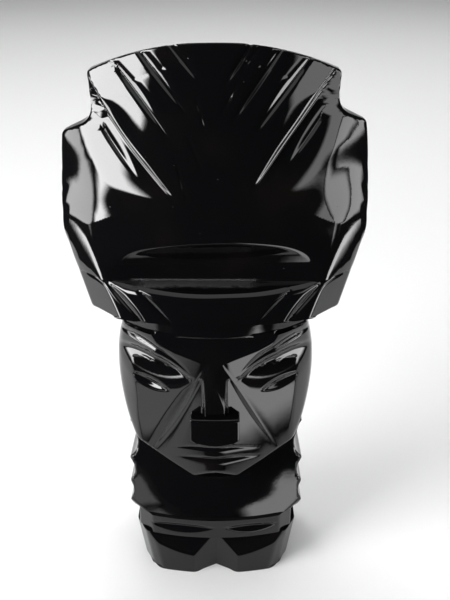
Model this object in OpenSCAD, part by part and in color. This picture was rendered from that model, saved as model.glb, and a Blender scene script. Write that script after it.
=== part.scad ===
// Carved black stone figurine: a standing figure with a tall feathered fan headdress.
// Six stone sections stacked on three hidden dowels. The figure faces -Y and stands on z = 0.

/* [Heights] */
// Height of the foot block
base_height = 16; // [13:0.5:20]
// Height of the belt ring above the foot block
belt_height = 8; // [6:0.5:11]
// Height of the body above the belt, measured at its centre line
body_height = 33; // [30:0.5:40]
// Height of the head at its centre line, neck to headband
head_height = 54; // [50:0.5:60]
// Height of the headband
band_height = 12; // [10:0.5:14]
// Height of the fan above the headband
fan_height = 77; // [68:0.5:90]

/* [Fan headdress] */
// Widest span of the fan
fan_span = 107; // [98:0.5:120]
// Radius of the convex front of the fan and headband
front_radius = 90; // [80:1:110]
// Angle at which the front leans back
front_lean = 15; // [12:0.5:17]
// Reach of the front in front of the centre line, at the top of the headband
front_reach = 28.5; // [27:0.5:31]
// Reach of the back behind the centre line, at the top of the headband
back_reach = 17; // [15:0.5:22]
// Radius of the convex back of the fan
back_radius = 260; // [200:5:320]
// Angle at which the back leans forward
back_lean = 6; // [3:0.5:8]
// Radius of the arched top edge
top_arch_radius = 91; // [85:1:110]
// Half width of the upper tier of the fan
upper_tier_half = 42.5; // [40:0.5:45]
// Height of the left shoulder of the fan below its top
left_step_drop = 25; // [22:0.5:28]
// Height of the right shoulder of the fan below its top
right_step_drop = 21.5; // [19:0.5:28]
// Downward run of each shoulder, notch to outer corner
step_fall = 7; // [5:0.5:10]
// Half width of the headband at its back lower edge
band_foot_half = 50; // [47:0.5:51.5]
// Half width of the flat front of the headband's lower edge
band_front_half = 32; // [29:0.5:35]
// Half width of the headband's lower edge, between its two side bevels
band_corner_half = 43.5; // [41:0.5:45]
// Slope of the bevel that falls away behind the top edge
top_bevel = 36; // [30:1:42]

/* [Fan facets and flutes] */
// Turn of the bevel along each front corner
corner_turn = 48; // [45:1:51]
// Turn of the bevel along each side edge
side_bevel_turn = 77; // [73:1:81]
// Outward slope of the bevel along each side edge
side_bevel_slope = 16; // [12:1:20]
// Radius of the shallow dish ground into each outer lobe
lobe_dish_radius = 70; // [60:1:90]
// Depth of that dish
lobe_dish_depth = 1.4; // [0.8:0.1:2]
// Depth of the long flutes
flute_depth = 1.6; // [1:0.1:2.2]
// Radius of the grinding wheel that cuts the flutes
flute_wheel = 70; // [60:1:90]
// Half angle of the flute's V section
flute_half_angle = 50; // [40:1:60]
// Depth of the groove that steps the upper tier above each lobe
step_groove_depth = 2.4; // [1.6:0.1:3]

/* [Scoop and ledge] */
// Radius of the hollow above the ledge
scoop_radius = 15; // [13:0.5:18]
// Depth of the ledge behind the front surface
ledge_depth = 9.5; // [7:0.5:11]
// Height of the deepest line of the hollow above the ledge
scoop_rise = 3; // [2:0.5:4]
// Slope of the ledge on top of the headband
ledge_slope = 12; // [8:1:18]

/* [Head] */
// Width of the head
head_width = 71; // [67:0.5:76]
// Radius of each side of the head, seen from the front
cheek_arc = 60; // [56:1:66]
// Radius of the head seen from above
head_plan_radius = 40; // [38:0.5:44]
// Reach of the face in front of the centre line
face_reach = 34; // [32:0.5:36]
// Reach of the back of the head behind the centre line
nape_reach = 18; // [15:0.5:21]
// Drop of the brow below the top of the head
brow_drop = 18.5; // [16:0.5:21]
// Height of the plain strip under the headband
strip_height = 4.5; // [3:0.5:6]
// Slope of the jaw line, seen from the front
jaw_slope = 34; // [30:1:38]
// Height of the point where the jaw lines meet, below the middle of the neck
chin_drop = 12; // [10:0.5:13]
// Height of the flat cut across the tip of the chin
chin_flat = 2.5; // [1.5:0.5:4]
// Undercut of the chin below the mouth
chin_undercut = 25; // [20:1:28]
// Half width of the bridge of the nose
bridge_half = 3.2; // [2.5:0.1:4]
// Outward turn of the cheek planes
cheek_turn = 13; // [10:1:16]
// Depth of the cheek planes behind the brow
cheek_set = 2.4; // [1.8:0.1:3.2]
// Half width of the nose block
nose_half = 8.6; // [7.5:0.1:9.5]
// Height of the nose block
nose_height = 10.5; // [9:0.5:12]
// Reach of the nose block in front of the face
nose_reach = 4.5; // [3.5:0.1:5.5]
// Tilt of the underside of the jaw
jaw_tilt = 24.5; // [22:0.5:27]
// Width of the mouth groove
mouth_gap = 1.2; // [0.8:0.1:1.8]

/* [Eyes] */
// Distance of each eye from the centre line
eye_spread = 20.5; // [19:0.5:22]
// Radius of the wheel that hollows each eye
eye_wheel = 16; // [13:0.5:20]
// Depth of the eye hollow
eye_depth = 2; // [1.4:0.1:2.4]
// Outward rise of the eyes
eye_slope = 25; // [18:1:30]
// Radius of the wheel that cuts the brow line over each eye
brow_wheel = 60; // [45:1:80]
// Depth of the brow line
brow_depth = 1.8; // [1.2:0.1:2.2]
// Radius of the wheel that cuts the lid line under each eye
lid_wheel = 30; // [24:1:40]
// Depth of the lid line
lid_depth = 0.9; // [0.6:0.1:1.2]

/* [Body] */
// Width of the body
body_width = 66; // [62:0.5:70]
// Reach of the chest in front of the centre line, at the belt
chest_reach = 21; // [19:0.5:22]
// Angle at which the chest leans back
chest_lean = 12; // [9:0.5:14]
// Radius of the chest seen from above
chest_radius = 85; // [75:1:100]
// Radius of the scallops down each side
scallop_radius = 6.5; // [5.5:0.5:8]
// Depth of those scallops
scallop_depth = 2.2; // [1.6:0.1:2.8]
// Spacing of those scallops
scallop_pitch = 9; // [8:0.5:10]
// Reach of the back behind the centre line
body_back = 20; // [18:0.5:22]

/* [Belt and feet] */
// Half width of the belt
belt_half = 31.5; // [30:0.5:33]
// Reach of the belt in front of the centre line
belt_reach = 22.5; // [21.5:0.5:23.5]
// Depth of the two lens hollows in the belt
belt_hollow_depth = 1.5; // [1:0.1:2]
// Radius of the wheel that cuts those hollows
belt_hollow_wheel = 22; // [20:1:26]
// Half width of the foot block at the floor
foot_half = 28.5; // [27:0.5:30]
// Outward slope of the foot block's sides
foot_flare = 10; // [6:1:13]
// Reach of the feet in front of the centre line
foot_reach = 24; // [23:0.5:25]
// Height of the fronts of the feet
foot_front = 8; // [6:0.5:10]
// Setback of the top of the skirt behind the feet
skirt_set = 5; // [4:0.5:6]
// Half width of the notch between the feet at its mouth
notch_half = 9.5; // [8:0.5:11]
// Depth of the notch between the feet
notch_depth = 7; // [5:0.5:9]
// Width of the bevel down each front corner
corner_bevel = 8; // [6:0.5:10]

/* [Dowels] */
// Diameter of the dowels
pin_diameter = 6; // [5:0.5:8]
// Length of each dowel inside the section at either end
pin_bite = 8; // [6:0.5:9]
// Clearance round a dowel in its hole
pin_clearance = 0.1; // [0.05:0.05:0.2]
// Spare depth past the end of a dowel
pin_end_gap = 0.5; // [0.3:0.1:1]

/* [Hidden] */
$fn = 96;

stone = [0.05, 0.05, 0.06];
steel = [0.7, 0.7, 0.72];

// Levels of the seams
belt_z = base_height;
body_z = belt_z + belt_height;
neck_z = body_z + body_height;
band_z = neck_z + head_height;
fan_z = band_z + band_height;
top_z = fan_z + fan_height;

far = 400;
bite = 0.5;
pin_y = 1;

fan_half = fan_span / 2;
step_drop = [left_step_drop, right_step_drop];
sides = [-1, 1];

// y of the leaning front at a point of the elevation
function front_y(x, z) = -front_reach + (z - fan_z) * tan(front_lean)
    + (front_radius - sqrt(pow(front_radius, 2) - x * x)) / cos(front_lean);

// outward direction of the leaning front at x
function front_normal(x) =
    let (s = x / front_radius, c = sqrt(1 - s * s))
    [s, -c * cos(front_lean), c * sin(front_lean)];

// everything on the outer side of a plane through p with outward normal n
module beyond(p, n) {
    translate(p)
        rotate([0, acos(n[2] / norm(n)), atan2(n[1], n[0])])
            translate([-far / 2, -far / 2, 0])
                cube(far);
}

// a slab between two levels
module between(low, high) {
    translate([-far / 2, -far / 2, low])
        cube([far, far, high - low]);
}

// the working part of a grinding wheel with a V rim: centre c, axle along a, depth of cut depth;
// out points away from the work
module wheel(c, a, out, radius, half_angle, depth) {
    rim = 3 * depth + 1;
    half = rim * tan(half_angle);
    reach = acos(max(-0.9, 1 - 4 * depth / radius));
    tilt = acos(a[2] / norm(a));
    swing = atan2(a[1], a[0]);
    across = [cos(tilt) * cos(swing), cos(tilt) * sin(swing), -sin(tilt)];
    along = [-sin(swing), cos(swing), 0];
    translate(c)
        rotate([0, tilt, swing])
            rotate([0, 0, 180 - reach + atan2(out * along, out * across)])
                rotate_extrude(angle = 2 * reach)
                    polygon([[radius - rim, -half], [radius, 0], [radius - rim, half]]);
}

// wheel cut into the leaning front between two points of the elevation
module front_flute(from, to, depth, radius) {
    a = [from[0], front_y(from[0], from[1]), from[1]];
    b = [to[0], front_y(to[0], to[1]), to[1]];
    mid = (from + to) / 2;
    m = [mid[0], front_y(mid[0], mid[1]), mid[1]];
    n = front_normal(mid[0]);
    wheel(m + n * (radius - depth), cross(b - a, n), n, radius, flute_half_angle, depth);
}

// leaning cylinder whose front line stands at -reach at the given level
module leaning_front(radius, lean, reach, level) {
    translate([0, -reach + radius / cos(lean), level])
        rotate([-lean, 0, 0])
            cylinder(r = radius, h = far, center = true, $fn = 360);
}

// leaning cylinder whose back line stands at +reach at the given level
module leaning_back(radius, lean, reach, level) {
    translate([0, reach - radius / cos(lean), level])
        rotate([lean, 0, 0])
            cylinder(r = radius, h = far, center = true, $fn = 360);
}

// front elevation of the headdress, band and fan together
module fan_elevation() {
    notch_l = top_z - step_drop[0];
    notch_r = top_z - step_drop[1];
    corner_z = top_z - top_arch_radius + sqrt(pow(top_arch_radius, 2) - pow(upper_tier_half, 2));
    widest_z = fan_z + 22;
    undercut = 1.5;
    intersection() {
        translate([0, top_z - top_arch_radius])
            circle(r = top_arch_radius, $fn = 360);
        polygon([
            [-band_foot_half, band_z], [band_foot_half, band_z],
            [fan_half - 1.5, fan_z + 6], [fan_half, widest_z],
            [fan_half - 1, notch_r - step_fall],
            [upper_tier_half - undercut, notch_r], [upper_tier_half, corner_z],
            [upper_tier_half - 2, top_z + 1], [2 - upper_tier_half, top_z + 1],
            [-upper_tier_half, corner_z], [undercut - upper_tier_half, notch_l],
            [1 - fan_half, notch_l - step_fall],
            [-fan_half, widest_z], [1.5 - fan_half, fan_z + 6]
        ]);
    }
}

// solid of the headdress before flutes, facets included
module headdress() {
    corner_y = front_y(band_front_half, band_z)
        + (band_corner_half - band_front_half) * tan(corner_turn);
    dish_x = 0.78 * fan_half;
    dish_z = fan_z + 33;
    dish = [dish_x, front_y(dish_x, dish_z), dish_z];
    dish_n = front_normal(dish_x);
    difference() {
        intersection() {
            rotate([90, 0, 0])
                linear_extrude(height = far / 2, center = true)
                    fan_elevation();
            leaning_front(front_radius, front_lean, front_reach, fan_z);
            leaning_back(back_radius, back_lean, back_reach, fan_z);
        }
        // bevel behind the arched top edge
        beyond([0, front_y(0, top_z), top_z], [0, sin(top_bevel), cos(top_bevel)]);
        for (s = sides) {
            // bevel along the front corner
            beyond([s * band_front_half, front_y(band_front_half, band_z), band_z],
                   [s * sin(corner_turn), -cos(corner_turn), -0.04]);
            // bevel along the side edge
            beyond([s * band_corner_half, corner_y, band_z],
                   [s * sin(side_bevel_turn), -cos(side_bevel_turn), -tan(side_bevel_slope)]);
            // dish ground into the outer lobe
            translate([s * (dish[0] + dish_n[0] * (lobe_dish_radius - lobe_dish_depth)),
                       dish[1] + dish_n[1] * (lobe_dish_radius - lobe_dish_depth),
                       dish[2] + dish_n[2] * (lobe_dish_radius - lobe_dish_depth)])
                sphere(r = lobe_dish_radius, $fn = 180);
        }
    }
}

// hollow above the ledge, running across the figure
module scoop() {
    half_chord = sqrt(pow(scoop_radius, 2) - pow(scoop_rise, 2));
    translate([0, ledge_depth - front_reach - half_chord, fan_z + scoop_rise])
        rotate([0, 90, 0])
            cylinder(r = scoop_radius, h = far, center = true, $fn = 180);
}

// round hole or dowel along z between two levels
module rod(low, high, radius) {
    translate([0, pin_y, low])
        cylinder(r = radius, h = high - low);
}

hole_r = pin_diameter / 2 + pin_clearance;

module crown_hole() {
    rod(band_z - pin_bite - pin_end_gap, fan_z + pin_bite + pin_end_gap, hole_r);
}

module neck_hole() {
    rod(neck_z - pin_bite - pin_end_gap, neck_z + pin_bite + pin_end_gap, hole_r);
}

module waist_hole() {
    rod(belt_z - pin_bite - pin_end_gap, body_z + pin_bite + pin_end_gap, hole_r);
}

// fan of feathers above the ledge
module crest() {
    color(stone)
    difference() {
        intersection() {
            headdress();
            between(fan_z, top_z + 1);
        }
        scoop();
        crown_hole();
        for (k = [0, 1]) {
            s = sides[k];
            // three long flutes of the upper tier
            front_flute([s * 33, top_z - 5.5], [s * 15.5, top_z - 27], flute_depth, flute_wheel);
            front_flute([s * 24.5, top_z - 2], [s * 8.5, top_z - 22], flute_depth, flute_wheel);
            front_flute([s * 14, top_z - 1.5], [s * 5, top_z - 11], 0.8 * flute_depth, flute_wheel);
            // groove under the upper tier, and the thin flute beside it
            front_flute([s * 42, top_z - step_drop[k] + 8], [s * 17, top_z - step_drop[k] - 34],
                        step_groove_depth, 2.4 * flute_wheel);
            front_flute([s * 40, top_z - step_drop[k] + 0.5], [s * 26, top_z - step_drop[k] - 17],
                        0.6 * flute_depth, flute_wheel);
        }
    }
}

// band under the ledge, with two slanting flutes at each side
module brow_band() {
    color(stone)
    difference() {
        intersection() {
            headdress();
            between(band_z, fan_z);
        }
        // ledge sloping down to its front edge
        beyond([0, ledge_depth - front_reach, fan_z], [0, -sin(ledge_slope), cos(ledge_slope)]);
        rod(band_z - 1, fan_z + 1, hole_r);
        for (s = sides) {
            front_flute([s * 26, fan_z + 1], [s * 14, band_z - 1], 0.8 * flute_depth, flute_wheel);
            front_flute([s * 36, fan_z + 0.5], [s * 25, band_z - 1], 0.8 * flute_depth, flute_wheel);
        }
    }
}

// y and outward direction of the rounded face at x
function face_y(x) = head_plan_radius - face_reach - sqrt(pow(head_plan_radius, 2) - x * x);
function face_normal(x) = [x / head_plan_radius, -sqrt(1 - pow(x / head_plan_radius, 2)), 0];

// wheel cut into the rounded face; slope is the cut's rise away from the centre line
module face_cut(side, x, z, slope, radius, depth, half_angle) {
    n = face_normal(x);
    along = [cos(slope) * -n[1], cos(slope) * n[0], sin(slope)];
    c = [x, face_y(x), z] + n * (radius - depth);
    a = cross(along, n);
    wheel([side * c[0], c[1], c[2]], [side * a[0], a[1], a[2]], [side * n[0], n[1], n[2]],
          radius, half_angle, depth);
}

// the head before the face is cut
module head_blank() {
    side_x = head_width / 2 - cheek_arc;
    widest_z = band_z - 23;
    brow_z = band_z - brow_drop;
    strip_z = band_z - strip_height;
    intersection() {
        rotate([90, 0, 0])
            linear_extrude(height = far / 2, center = true)
                intersection() {
                    translate([side_x, widest_z])
                        circle(r = cheek_arc, $fn = 360);
                    translate([-side_x, widest_z])
                        circle(r = cheek_arc, $fn = 360);
                }
        translate([0, head_plan_radius - face_reach, 0])
            cylinder(r = head_plan_radius, h = far, center = true, $fn = 180);
        // side profile: strip under the headband, leaning forehead, falling face
        rotate([90, 0, 90])
            linear_extrude(height = far / 2, center = true)
                polygon([
                    [3 - face_reach, band_z], [nape_reach, band_z],
                    [nape_reach - 1, neck_z - 30], [6 - face_reach, neck_z - 30],
                    [2.5 - face_reach, neck_z - 4], [1.4 - face_reach, brow_z - 22],
                    [0.2 - face_reach, brow_z], [4 - face_reach, strip_z], [3 - face_reach, strip_z]
                ]);
    }
}

// head with brow, cheeks, nose, eyes and mouth
module head() {
    brow_z = band_z - brow_drop;
    nose_z = brow_z - 13.5;
    mouth_z = brow_z - 34;
    color(stone)
    difference() {
        union() {
            difference() {
                head_blank();
                for (s = sides) {
                    // flat cheek below the brow, cut in behind the bridge
                    intersection() {
                        beyond([s * bridge_half, cheek_set - face_reach, brow_z],
                               [s * sin(cheek_turn), -cos(cheek_turn), 0]);
                        between(neck_z - 20, brow_z);
                        translate([s > 0 ? bridge_half : -bridge_half - far, -far / 2, 0])
                            cube(far);
                    }
                    face_cut(s, eye_spread, brow_z + 2, eye_slope, eye_wheel, eye_depth, 62);
                    face_cut(s, eye_spread + 2, brow_z + 8.5, 0.7 * eye_slope, brow_wheel,
                             brow_depth, 45);
                    face_cut(s, eye_spread + 3.5, brow_z - 6, 0.6 * eye_slope, lid_wheel,
                             lid_depth, 50);
                }
            }
            // nose block
            translate([-nose_half, -face_reach - nose_reach, nose_z - nose_height])
                cube([2 * nose_half, nose_reach + 6, nose_height]);
        }
        // seat of the neck and underside of the jaw
        beyond([0, 0, neck_z], [0, sin(jaw_tilt), -cos(jaw_tilt)]);
        for (s = sides) {
            beyond([0, 7 - face_reach, neck_z - chin_drop],
                   [s * sin(jaw_slope), -0.32, -cos(jaw_slope)]);
        }
        beyond([0, 7 - face_reach, neck_z - chin_drop + chin_flat], [0, -0.35, -0.94]);
        // mouth groove, and the bevel from it down to the chin
        translate([-far / 2, -face_reach - far + 3.6, mouth_z])
            cube([far, far, mouth_gap]);
        beyond([0, 1.2 - face_reach, mouth_z - 1], [0, -cos(chin_undercut), -sin(chin_undercut)]);
        neck_hole();
        crown_hole();
    }
}

// front elevation of the body with its scalloped sides
module body_elevation() {
    half = body_width / 2;
    difference() {
        polygon([
            [-half + 5, body_z], [half - 5, body_z], [half, body_z + 9],
            [half, neck_z + 6], [-half, neck_z + 6], [-half, body_z + 9]
        ]);
        for (s = sides) {
            for (i = [0:3]) {
                translate([s * (half + scallop_radius - scallop_depth), body_z + 6 + i * scallop_pitch])
                    circle(r = scallop_radius);
            }
        }
    }
}

// body with leaning chest
module torso() {
    color(stone)
    difference() {
        intersection() {
            rotate([90, 0, 0])
                linear_extrude(height = far / 2, center = true)
                    body_elevation();
            leaning_front(chest_radius, chest_lean, chest_reach, body_z);
            leaning_back(2 * chest_radius, chest_lean / 3, body_back, body_z);
        }
        beyond([0, 0, neck_z], [0, -sin(jaw_tilt), cos(jaw_tilt)]);
        neck_hole();
        waist_hole();
    }
}

// belt ring with two lens hollows in front
module belt() {
    color(stone)
    difference() {
        intersection() {
            translate([-belt_half, -far / 2, belt_z])
                cube([2 * belt_half, far, belt_height]);
            leaning_front(chest_radius, 0, belt_reach, belt_z);
            leaning_back(2 * chest_radius, 0, body_back + 1, belt_z);
        }
        for (s = sides) {
            beyond([s * (belt_half - corner_bevel), -belt_reach + 3.5, belt_z], [s * 0.72, -0.69, 0]);
            wheel([s * 13, 0.8 - belt_reach - (belt_hollow_wheel - belt_hollow_depth),
                   belt_z + 0.5 * belt_height],
                  [-0.1 * s, 0, 1], [0, -1, 0], belt_hollow_wheel, 62, belt_hollow_depth);
        }
        rod(belt_z - 1, body_z + 1, hole_r);
    }
}

// foot block: skirt above, two feet parted by a notch below
module base() {
    slope = atan2(base_height - foot_front, skirt_set);
    color(stone)
    difference() {
        intersection() {
            between(0, base_height);
            leaning_front(chest_radius, 0, foot_reach, 0);
            leaning_back(2 * chest_radius, 0, body_back + 1, 0);
        }
        // skirt falling forward from the belt to the feet
        beyond([0, -foot_reach + bite, foot_front], [0, -sin(slope), cos(slope)]);
        for (s = sides) {
            beyond([s * foot_half, 0, 0], [s * cos(foot_flare), 0, -sin(foot_flare)]);
            beyond([s * (foot_half - corner_bevel), -foot_reach + 2.5, 0],
                   [s * 0.66, -0.75, -0.1]);
        }
        translate([0, 0, -1])
            linear_extrude(height = far / 2)
                polygon([[-notch_half - 1, -foot_reach - 1], [notch_half + 1, -foot_reach - 1],
                         [0, notch_depth - foot_reach]]);
        waist_hole();
    }
}

module crown_pin() {
    color(steel)
        rod(band_z - pin_bite, fan_z + pin_bite, pin_diameter / 2);
}

module neck_pin() {
    color(steel)
        rod(neck_z - pin_bite, neck_z + pin_bite, pin_diameter / 2);
}

module waist_pin() {
    color(steel)
        rod(belt_z - pin_bite, body_z + pin_bite, pin_diameter / 2);
}

crest();
brow_band();
head();
torso();
belt();
base();
crown_pin();
neck_pin();
waist_pin();
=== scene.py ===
# %% [markdown]
# # A carved figurine of polished black stone
# The figure was ground out of one block of volcanic glass on spinning wheels: flat laps gave the
# facets, and wheels with a V rim gave the flutes. This lesson carves it the same way, with numbers.
# A shape is a signed distance, negative inside the stone: cutting is taking the larger of two
# distances.

# %% Load the frame and read the levels of the seams
import bpy
import time
import numpy as np
from math import sin, cos, tan, radians, sqrt, pi
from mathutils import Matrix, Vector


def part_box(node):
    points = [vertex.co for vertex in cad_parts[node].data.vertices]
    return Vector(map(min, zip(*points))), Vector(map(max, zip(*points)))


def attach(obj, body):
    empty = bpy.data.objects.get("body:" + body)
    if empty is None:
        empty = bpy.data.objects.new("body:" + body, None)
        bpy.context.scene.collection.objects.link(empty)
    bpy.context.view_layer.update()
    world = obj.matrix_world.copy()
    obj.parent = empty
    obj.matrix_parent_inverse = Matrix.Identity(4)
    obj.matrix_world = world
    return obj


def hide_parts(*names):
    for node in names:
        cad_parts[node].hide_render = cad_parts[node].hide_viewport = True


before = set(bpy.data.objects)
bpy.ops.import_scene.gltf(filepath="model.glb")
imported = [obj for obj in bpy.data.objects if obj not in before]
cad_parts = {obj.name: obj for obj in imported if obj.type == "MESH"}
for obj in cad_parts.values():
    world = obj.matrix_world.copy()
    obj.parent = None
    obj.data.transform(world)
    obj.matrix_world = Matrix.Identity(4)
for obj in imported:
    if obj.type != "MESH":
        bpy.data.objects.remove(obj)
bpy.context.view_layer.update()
MM = 0.001


def levels(node):
    """Lowest and highest z of a CAD node, in millimetres."""
    low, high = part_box(node)
    return low[2] / MM, high[2] / MM


FAN_Z, TOP_Z = levels("crest")
BAND_Z = levels("brow_band")[0]
BODY_Z = levels("torso")[0]
BELT_Z = levels("belt")[0]
FACE_Y = -34.0
print("seams at", [round(v, 1) for v in (BELT_Z, BODY_Z, BAND_Z, FAN_Z, TOP_Z)], "mm")

# %% [markdown]
# ## Camera
# The figure is looked down on from a little above its head, quite close, so the fan looms and the
# feet look small. A long edge of 38 degrees keeps that perspective. The plain Standard view leaves
# white paper white and the blacks of the stone deep.

# %% Camera
CAMERA_PITCH = radians(24)
CAMERA_VIEW = radians(38)
CAMERA_DISTANCE = 0.3212
CAMERA_TARGET = (0.0035, 0.0, 0.1069)
NEAREST_SEEN = 0.01

camera_data = bpy.data.cameras.new("camera")
camera_data.angle = CAMERA_VIEW
camera_data.clip_start = NEAREST_SEEN
camera = bpy.data.objects.new("camera", camera_data)
camera.location = (CAMERA_TARGET[0], -CAMERA_DISTANCE * cos(CAMERA_PITCH),
                   CAMERA_TARGET[2] + CAMERA_DISTANCE * sin(CAMERA_PITCH))
camera.rotation_euler = (pi / 2 - CAMERA_PITCH, 0, 0)
bpy.context.scene.collection.objects.link(camera)
bpy.context.scene.camera = camera
bpy.context.scene.view_settings.view_transform = "Standard"
print("camera at", [round(v, 3) for v in camera.location], "m")

# %% [markdown]
# ## Shader expressions
# A material's arithmetic reads best as arithmetic. The class below wraps a socket, and each
# operator adds the Math node that it stands for.

# %% Expressions on sockets


class Wire:
    """A socket that can be added, multiplied and compared, each adding a Math node."""

    def __init__(self, tree, socket):
        self.tree = tree
        self.socket = socket

    def node(self, kind, settings=None, inputs=None, out=0):
        """Add a node of a type, set its settings, feed its sockets, and wrap one output."""
        n = self.tree.nodes.new(kind)
        for key, value in (settings or {}).items():
            setattr(n, key, value)
        for key, value in (inputs or {}).items():
            if isinstance(value, Wire):
                self.tree.links.new(value.socket, n.inputs[key])
            else:
                n.inputs[key].default_value = value
        return Wire(self.tree, n.outputs[out])

    def maths(self, operation, a, b=0.0):
        return self.node("ShaderNodeMath", {"operation": operation}, {0: a, 1: b})

    def __add__(self, other):
        return self.maths("ADD", self, other)

    def __mul__(self, other):
        return self.maths("MULTIPLY", self, other)

    def __sub__(self, other):
        return self.maths("SUBTRACT", self, other)

    def __rsub__(self, other):
        return self.maths("SUBTRACT", other, self)

    __radd__ = __add__
    __rmul__ = __mul__

    def ramp(self, low, high):
        """0 below low, 1 above high, smooth between."""
        return self.node("ShaderNodeMapRange", {"interpolation_type": "SMOOTHSTEP"},
                         {"Value": self, "From Min": low, "From Max": high})

    def noise(self, at, scale, detail=2.0, rough=0.5):
        return self.node("ShaderNodeTexNoise", None,
                         {"Vector": at, "Scale": scale, "Detail": detail, "Roughness": rough})

    def mix(self, factor, a, b):
        """A colour between a and b."""
        n = self.tree.nodes.new("ShaderNodeMix")
        n.data_type = "RGBA"
        for key, value in ((0, factor), (6, a), (7, b)):
            if isinstance(value, Wire):
                self.tree.links.new(value.socket, n.inputs[key])
            else:
                n.inputs[key].default_value = value
        return Wire(self.tree, n.outputs[2])


def new_material(name):
    """A material holding one Principled shader; gives the material, shader and a starting wire."""
    material = bpy.data.materials.new(name)
    material.use_nodes = True
    tree = material.node_tree
    shader = tree.nodes["Principled BSDF"]
    return material, shader, Wire(tree, None)


def plug(wire, shader, name):
    """Lead a wire into a socket of the shader."""
    wire.tree.links.new(wire.socket, shader.inputs[name])


# %% [markdown]
# ## The stone
# Volcanic glass is almost black and takes a mirror polish. What shows on it is what it reflects,
# and where the polish fails: smears left by the lap, hairline scratches and specks of dust.

# %% Polished stone
GLASS_INDEX = 1.49
STONE_COOL, STONE_WARM = (0.0022, 0.0022, 0.0026, 1), (0.0044, 0.0035, 0.0032, 1)
DUST, BROKEN_STONE = (0.20, 0.20, 0.19, 1), (0.03, 0.03, 0.032, 1)
# roughness of the clean polish, and what each blemish adds to it
POLISHED, SMEARED, GRAINY, DUSTY, BROKEN = 0.018, 0.035, 0.02, 0.3, 0.35

stone, stone_shader, w = new_material("polished_black_stone")
place = w.node("ShaderNodeTexCoord", out=3)
smear = w.noise(place, 55.0, 4.0, 0.6)
grain = w.noise(place, 900.0, 3.0, 0.7)
warm = w.noise(place, 38.0, 3.0, 0.55).ramp(0.5, 0.75)
speck_cells = w.node("ShaderNodeTexVoronoi", None, {"Vector": place, "Scale": 700.0})
speck_pick = w.noise(place, 160.0, 2.0, 0.5).ramp(0.66, 0.70)
specks = (1 - speck_cells.ramp(0.06, 0.14)) * speck_pick
print("stone: polish, smears, grain and specks laid out")

# %% [markdown]
# ## Rough streak at the back of the ledge
# The wheel never reached the back of the ledge, so the break there was left as it was: greyer,
# rough and sparkling. Three ramps along x, y and z box the streak in, and a noise frays its rim.

# %% Rough streak and the stone's sockets
px, py, pz = [w.node("ShaderNodeSeparateXYZ", None, {0: place}, out=i) for i in range(3)]
LEDGE = FAN_Z * MM
ragged = w.noise(place, 300.0, 3.0, 0.6) * 0.004 - 0.002
along = 1 - (w.maths("ABSOLUTE", px + 0.006) + ragged * 2).ramp(0.016, 0.024)
height = (pz + ragged * 0.3).ramp(LEDGE - 0.0014, LEDGE - 0.0010)
height = height * (1 - pz.ramp(LEDGE + 0.0004, LEDGE + 0.0008))
depth = (py + ragged).ramp(-0.0245, -0.0225) * (1 - py.ramp(-0.018, -0.016))
rough_patch = along * height * depth

tone = w.mix(warm, STONE_COOL, STONE_WARM)
tone = w.mix(specks * 0.3, tone, DUST)
tone = w.mix(rough_patch * 0.6, tone, BROKEN_STONE)
plug(tone, stone_shader, "Base Color")
gloss = smear.ramp(0.35, 0.8) * SMEARED + grain * GRAINY + specks * DUSTY
plug(gloss + rough_patch * BROKEN + POLISHED, stone_shader, "Roughness")
ripple = w.noise(place, 110.0, 2.0, 0.5)
polish = w.node("ShaderNodeBump", None, {"Height": ripple, "Strength": 0.05, "Distance": 0.0004})
scratch = w.node("ShaderNodeBump", None,
                 {"Height": grain, "Strength": 0.04, "Distance": 0.0001, "Normal": polish})
broken = w.node("ShaderNodeBump", None, {"Height": w.noise(place, 1800.0, 3.0, 0.8) * rough_patch,
                                         "Strength": 0.9, "Distance": 0.0006, "Normal": scratch})
plug(broken, stone_shader, "Normal")
stone_shader.inputs["IOR"].default_value = GLASS_INDEX
print("stone: refractive index", GLASS_INDEX)

# %% [markdown]
# ## Steel of the hidden dowels
# Three round pins hold the sections together inside. They are cut from drawn bar, which keeps fine
# streaks along its length: a noise stretched along z gives them.

# %% Drawn steel
STEEL_DARK, STEEL_LIGHT = (0.42, 0.42, 0.44, 1), (0.6, 0.6, 0.61, 1)
DOWELS = ("crown_pin", "neck_pin", "waist_pin")
steel, steel_shader, w = new_material("drawn_steel")
place = w.node("ShaderNodeTexCoord", out=3)
stretched = w.node("ShaderNodeMapping", None, {"Vector": place, "Scale": (60, 60, 4)})
streak = w.noise(stretched, 12.0, 4.0)
plug(w.mix(streak, STEEL_DARK, STEEL_LIGHT), steel_shader, "Base Color")
plug(streak * 0.2 + 0.25, steel_shader, "Roughness")
steel_shader.inputs["Metallic"].default_value = 1.0
for pin in DOWELS:
    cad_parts[pin].data.materials.clear()
    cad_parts[pin].data.materials.append(steel)
print("steel on", ", ".join(DOWELS))

# %% [markdown]
# ## Carving kit
# Every tool is a function of points, an array with one row per point, giving signed distances in
# millimetres. A flat lap is a plane, a drum is a cylinder, and a V rim is a groove along a curve.

# %% Laps and drums


def lap(p, at, normal):
    """Plane: distance of p beyond the plane through at, along its outward normal."""
    n = np.asarray(normal, float)
    n = n / np.linalg.norm(n)
    return (p[:, 0] - at[0]) * n[0] + (p[:, 1] - at[1]) * n[1] + (p[:, 2] - at[2]) * n[2]


def drum(p, at, axis, radius):
    """Cylinder: distance from the axis through at, less the radius."""
    a = np.asarray(axis, float)
    a = a / np.linalg.norm(a)
    d = p - np.asarray(at, float)
    along = d @ a
    return np.sqrt(np.maximum((d * d).sum(1) - along * along, 1e-12)) - radius


def both(a, b, edge=0.35):
    """Stone inside a and b. Near their crossing the polished edge is rounded: the larger distance,
    plus the square of what is left of the edge width over four times that width."""
    near = np.maximum(edge - np.abs(a - b), 0)
    return np.maximum(a, b) + near * near / (4 * edge)


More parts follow.
